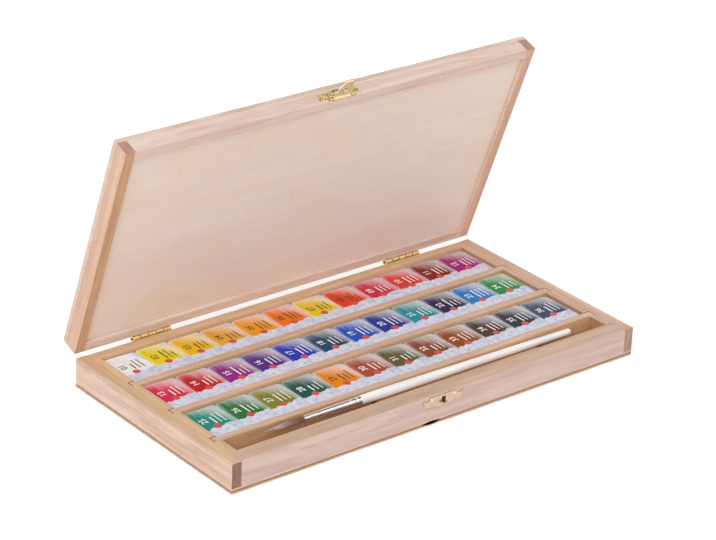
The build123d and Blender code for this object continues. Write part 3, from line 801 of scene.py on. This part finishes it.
tip_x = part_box("brush_hair")[0].x * PER_MM
hair_material = hair("brush_hair_brown", tip_x, tip_x + TUFT_LENGTH_MM)
tuft_piece = new_object("brush_tuft", mesh_from(tuft, "brush_tuft", (hair_material,)), "brush")
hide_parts("brush_hair")


# Finishes of the CAD pieces that show as they are
FRONT_PALE = rgb(222, 198, 187)
FRONT_DARK = rgb(196, 165, 154)
SIDE_PALE = rgb(226, 195, 176)
SIDE_DARK = rgb(199, 162, 142)
FRONT_RIM_TINT = rgb(210, 178, 156)
RIM_TINT = rgb(217, 182, 159)
BACK_RIM_TINT = rgb(223, 187, 150)
INNER_TINT = rgb(222, 182, 144)
INNER_DARK = rgb(186, 146, 108)
SHADED_TINT = rgb(188, 144, 106)
END_GRAIN = rgb(148, 114, 98)
PALE_END_GRAIN = rgb(186, 148, 126)
TRAY_LEFT_PALE = rgb(236, 210, 194)
TRAY_LEFT_DARK = rgb(191, 155, 136)
LID_PALE = rgb(233, 210, 198)
LID_DARK = rgb(210, 181, 165)
LEFT_PALE = rgb(224, 191, 168)
LEFT_DARK = rgb(199, 158, 133)
LEFT_RIM_TINT = rgb(203, 158, 124)
RIGHT_RIM_TINT = rgb(222, 176, 153)
PANEL_PALE = rgb(236, 218, 206)
PANEL_DARK = rgb(231, 208, 195)
SKIN_PALE = rgb(222, 196, 180)
SKIN_DARK = rgb(200, 172, 154)
TRAY_PLY_PALE = rgb(222, 194, 170)
TRAY_PLY_DARK = rgb(198, 164, 140)
CORE = rgb(164, 128, 106)

# Painted shade: the wood behind the catch's window and a knot hole in the bottom sheet's edge are
# painted dark, as shade in hollows that the geometry doesn't cut
WINDOW_HALF_MM = 5.0
WINDOW_DEPTH_MM = 2
PLATE_EDGE_MM = 0.8
KNOT_START_MM, KNOT_END_MM = -14.2, 0.2
KNOT_SKIN_MM, KNOT_DEPTH_MM = 0.1, 3.0
KNOT_MARGIN_MM = 0.3
plate_low, plate_high = (corner * PER_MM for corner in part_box("catch_base_plate"))
catch_window_shade = (
    (-WINDOW_HALF_MM, plate_low.y - WINDOW_DEPTH_MM, plate_low.z + PLATE_EDGE_MM),
    (WINDOW_HALF_MM, plate_high.y + WINDOW_DEPTH_MM, plate_high.z - PLATE_EDGE_MM),
)
sheet_low, sheet_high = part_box("base_panel")
sheet_front, tray_ply_mm = sheet_low.y * PER_MM, sheet_high.z * PER_MM
knot_hole_shade = (
    (KNOT_START_MM, sheet_front + KNOT_SKIN_MM, KNOT_MARGIN_MM),
    (KNOT_END_MM, sheet_front + KNOT_DEPTH_MM, tray_ply_mm - KNOT_MARGIN_MM),
)

front = {"pale": FRONT_PALE, "dark": FRONT_DARK, "end": END_GRAIN, "top": FRONT_RIM_TINT}
side = {"pale": SIDE_PALE, "dark": SIDE_DARK}
tray_left = {"pale": TRAY_LEFT_PALE, "dark": TRAY_LEFT_DARK, "end": END_GRAIN}
inside = {"pale": INNER_TINT, "dark": INNER_DARK, "end": END_GRAIN}
lid = {"pale": LID_PALE, "dark": LID_DARK, "end": PALE_END_GRAIN, "lid": True}
lid_left = {"pale": LEFT_PALE, "dark": LEFT_DARK, "end": PALE_END_GRAIN, "lid": True}

finishes = {
    "base_rail_front": wood(
        "tray_front_wood", "x", inner=INNER_TINT, seed=11, painted_shade_box=catch_window_shade, **front
    ),
    "base_rail_back": wood(
        "tray_back_wood", "x", end=END_GRAIN, top=BACK_RIM_TINT, inner=INNER_TINT, seed=2, **side
    ),
    "base_rail_left": wood(
        "tray_left_wood", "y", top=BACK_RIM_TINT, inner=INNER_TINT, seed=3, **tray_left
    ),
    "base_rail_right": wood(
        "tray_right_wood", "y", end=PALE_END_GRAIN, top=RIM_TINT, inner=SHADED_TINT, seed=4, **side
    ),
    "row_dividers": wood("divider_wood", "x", top=RIM_TINT, seed=5, **inside),
    "brush_rest": wood("rest_wood", "x", seed=6, **inside),
    "lid_rail_front": wood("lid_front_wood", "x", seed=7, **lid),
    "lid_rail_back": wood("lid_back_wood", "x", top=PANEL_DARK, seed=8, **lid),
    "lid_rail_left": wood("lid_left_wood", "y", top=LEFT_RIM_TINT, seed=9, **lid_left),
    "lid_rail_right": wood("lid_right_wood", "y", top=RIGHT_RIM_TINT, seed=10, **lid),
    "base_panel": plywood(
        "tray_ply",
        TRAY_PLY_PALE,
        TRAY_PLY_DARK,
        seed=1,
        core=CORE,
        thickness=tray_ply_mm,
        hollow_shade_box=knot_hole_shade,
    ),
    "lid_skin": plywood("skin_ply", SKIN_PALE, SKIN_DARK, lid=True, seed=2),
    "lid_inner_panel": plywood("panel_ply", PANEL_PALE, PANEL_DARK, lid=True, seed=3),
    "brush_handle": lacquer("handle_lacquer"),
    "brush_ferrule": metal("ferrule_metal", rgb(248, 248, 249), rgb(224, 222, 222), 0.06),
}

# Brass: name, colour, dark film, roughness, then the dents' size and depth, and any tarnish
DENTS_MM = (1.6, 1.6, 1.6)
HINGE_DENTS_MM = (1.2, 1.2, 1.2)
TARNISH = rgb(104, 90, 44)
finishes["catch_lid_plate"] = metal(
    "bright_brass", rgb(248, 228, 166), rgb(220, 184, 116), 0.16, DENTS_MM, 0.1, TARNISH
)
finishes["catch_hasp"] = metal(
    "hasp_brass", rgb(255, 236, 196), rgb(232, 200, 150), 0.4, DENTS_MM, 0.05
)
finishes["catch_base_plate"] = metal(
    "plate_brass", rgb(208, 183, 163), rgb(188, 156, 128), 0.2, DENTS_MM, 0.05
)
finishes["hinge_base_leaves"] = finishes["hinge_lid_leaves"] = metal(
    "hinge_brass", rgb(246, 216, 152), rgb(208, 164, 94), 0.16, HINGE_DENTS_MM, 0.03
)
finishes["lid_fixings"] = finishes["base_fixings"] = metal(
    "fixing_brass", rgb(226, 198, 152), rgb(198, 160, 110), 0.2, DENTS_MM, 0.03
)
# The pins show in the narrow gaps between knuckles, and their brass is painted dark as painted
# shade for those gaps
finishes["pivot_pins"] = metal("pin_brass", rgb(128, 96, 54), rgb(74, 54, 30), 0.35)
for node, material in finishes.items():
    mesh = frame["nodes"][node].data
    mesh.materials.clear()
    mesh.materials.append(material)


# Camera
right = Vector((cos(CAMERA_AZIMUTH), sin(CAMERA_AZIMUTH), 0))
away = Vector((sin(CAMERA_AZIMUTH), -cos(CAMERA_AZIMUTH), 0)) * cos(CAMERA_ELEVATION)
away.z = sin(CAMERA_ELEVATION)
above = away.cross(right)
rolled_right = right * cos(CAMERA_ROLL) + above * sin(CAMERA_ROLL)
rolled_up = above * cos(CAMERA_ROLL) - right * sin(CAMERA_ROLL)
aim = CAMERA_TARGET + rolled_right * TARGET_OFFSET.x + rolled_up * TARGET_OFFSET.y
camera_data = bpy.data.cameras.new("camera")
camera_data.sensor_width = SENSOR_WIDTH_MM
camera_data.lens = FOCAL_PIXELS / IMAGE_WIDTH * SENSOR_WIDTH_MM
camera = bpy.data.objects.new("camera", camera_data)
axes = Matrix((rolled_right, rolled_up, away)).transposed().to_4x4()
camera.matrix_world = Matrix.Translation(aim + away * CAMERA_DISTANCE) @ axes
bpy.context.scene.collection.objects.link(camera)
bpy.context.scene.camera = camera


# Light: one large soft lamp from the front left
KEY_PLACE = Vector((-3.12, -2.28, 2.50))
KEY_TARGET = Vector((0, 0, 0.03))
KEY_SIZE = 3.12
KEY_WATTS = 114.0
key_data = bpy.data.lights.new("key", "AREA")
key_data.shape = "SQUARE"
key_data.size = KEY_SIZE
key_data.energy = KEY_WATTS
key = bpy.data.objects.new("key", key_data)
key.location = KEY_PLACE
key.rotation_euler = (KEY_TARGET - KEY_PLACE).to_track_quat("-Z", "Y").to_euler()
bpy.context.scene.collection.objects.link(key)

# Room: even pale light from all sides, which the camera and all reflections see as white
WORLD_LIGHT = 0.74
WORLD_SEEN = 1.0
world = bpy.data.worlds.new("room")
bpy.context.scene.world = world
world.use_nodes = True
sky = world.node_tree
background = sky.nodes["Background"]
background.inputs["Color"].default_value = (1, 1, 1, 1)
paths = sky.nodes.new("ShaderNodeLightPath")
seen = sky.nodes.new("ShaderNodeMath")
seen.operation = "MAXIMUM"
sky.links.new(paths.outputs["Is Camera Ray"], seen.inputs[0])
sky.links.new(paths.outputs["Is Glossy Ray"], seen.inputs[1])
strength = sky.nodes.new("ShaderNodeMapRange")
strength.inputs["To Min"].default_value = WORLD_LIGHT
strength.inputs["To Max"].default_value = WORLD_SEEN
sky.links.new(seen.outputs[0], strength.inputs["Value"])
sky.links.new(strength.outputs[0], background.inputs["Strength"])


def plane(width, depth):
    """A builder of one level face about the origin."""

    def build(shape):
        corners = [(-1, -1), (1, -1), (1, 1), (-1, 1)]
        shape.faces.new([shape.verts.new((x * width / 2, y * depth / 2, 0)) for x, y in corners])

    return build


def dark_card(name, direction, size):
    """A dark card that only reflections see, as a photographer sets one up for bright metal."""
    m = Material(name)
    shade = m.noise(m.coordinates(), 200.0)
    m.set(Base_Color=m.mix(shade, rgb(16, 14, 12), rgb(26, 22, 20)), Roughness=1.0)
    card = bpy.data.objects.new(name, mesh_from(plane(*size), name, (m.material,)))
    way = Vector(direction).normalized()
    card.location = way * CARD_DISTANCE
    card.rotation_euler = way.to_track_quat("Z", "Y").to_euler()
    card.visible_camera = card.visible_diffuse = card.visible_shadow = False
    bpy.context.scene.collection.objects.link(card)


# Cards: where they stand, seen from the box, and how large they are
CARD_DISTANCE = 1.6
dark_card("high_card", (0.582, 0.082, 0.809), (0.74, 0.8))
dark_card("low_card", (0.577, -0.738, 0.2), (0.8, 0.22))

FLOOR_SIZE = 8.0
FLOOR_GLOW = 0.3
floor_look = Material("floor_paper")
floor_grain = floor_look.noise(floor_look.coordinates(), 40.0)
floor_paths = floor_look.add("ShaderNodeLightPath")
floor_seen = floor_look.math(
    "MAXIMUM", floor_paths.outputs["Is Camera Ray"], floor_paths.outputs["Is Glossy Ray"]
)
floor_look.set(
    Base_Color=floor_look.mix(floor_grain, rgb(246, 246, 246), rgb(244, 244, 244)),
    Roughness=0.9,
    Specular_IOR_Level=0.0,
    Emission_Color=(1.0, 1.0, 1.0, 1.0),
    Emission_Strength=floor_look.math("MULTIPLY", floor_seen, FLOOR_GLOW),
)
floor_mesh = mesh_from(plane(FLOOR_SIZE, FLOOR_SIZE), "floor", (floor_look.material,))
floor = bpy.data.objects.new("floor", floor_mesh)
bpy.context.scene.collection.objects.link(floor)

bpy.context.scene.view_settings.view_transform = "Standard"
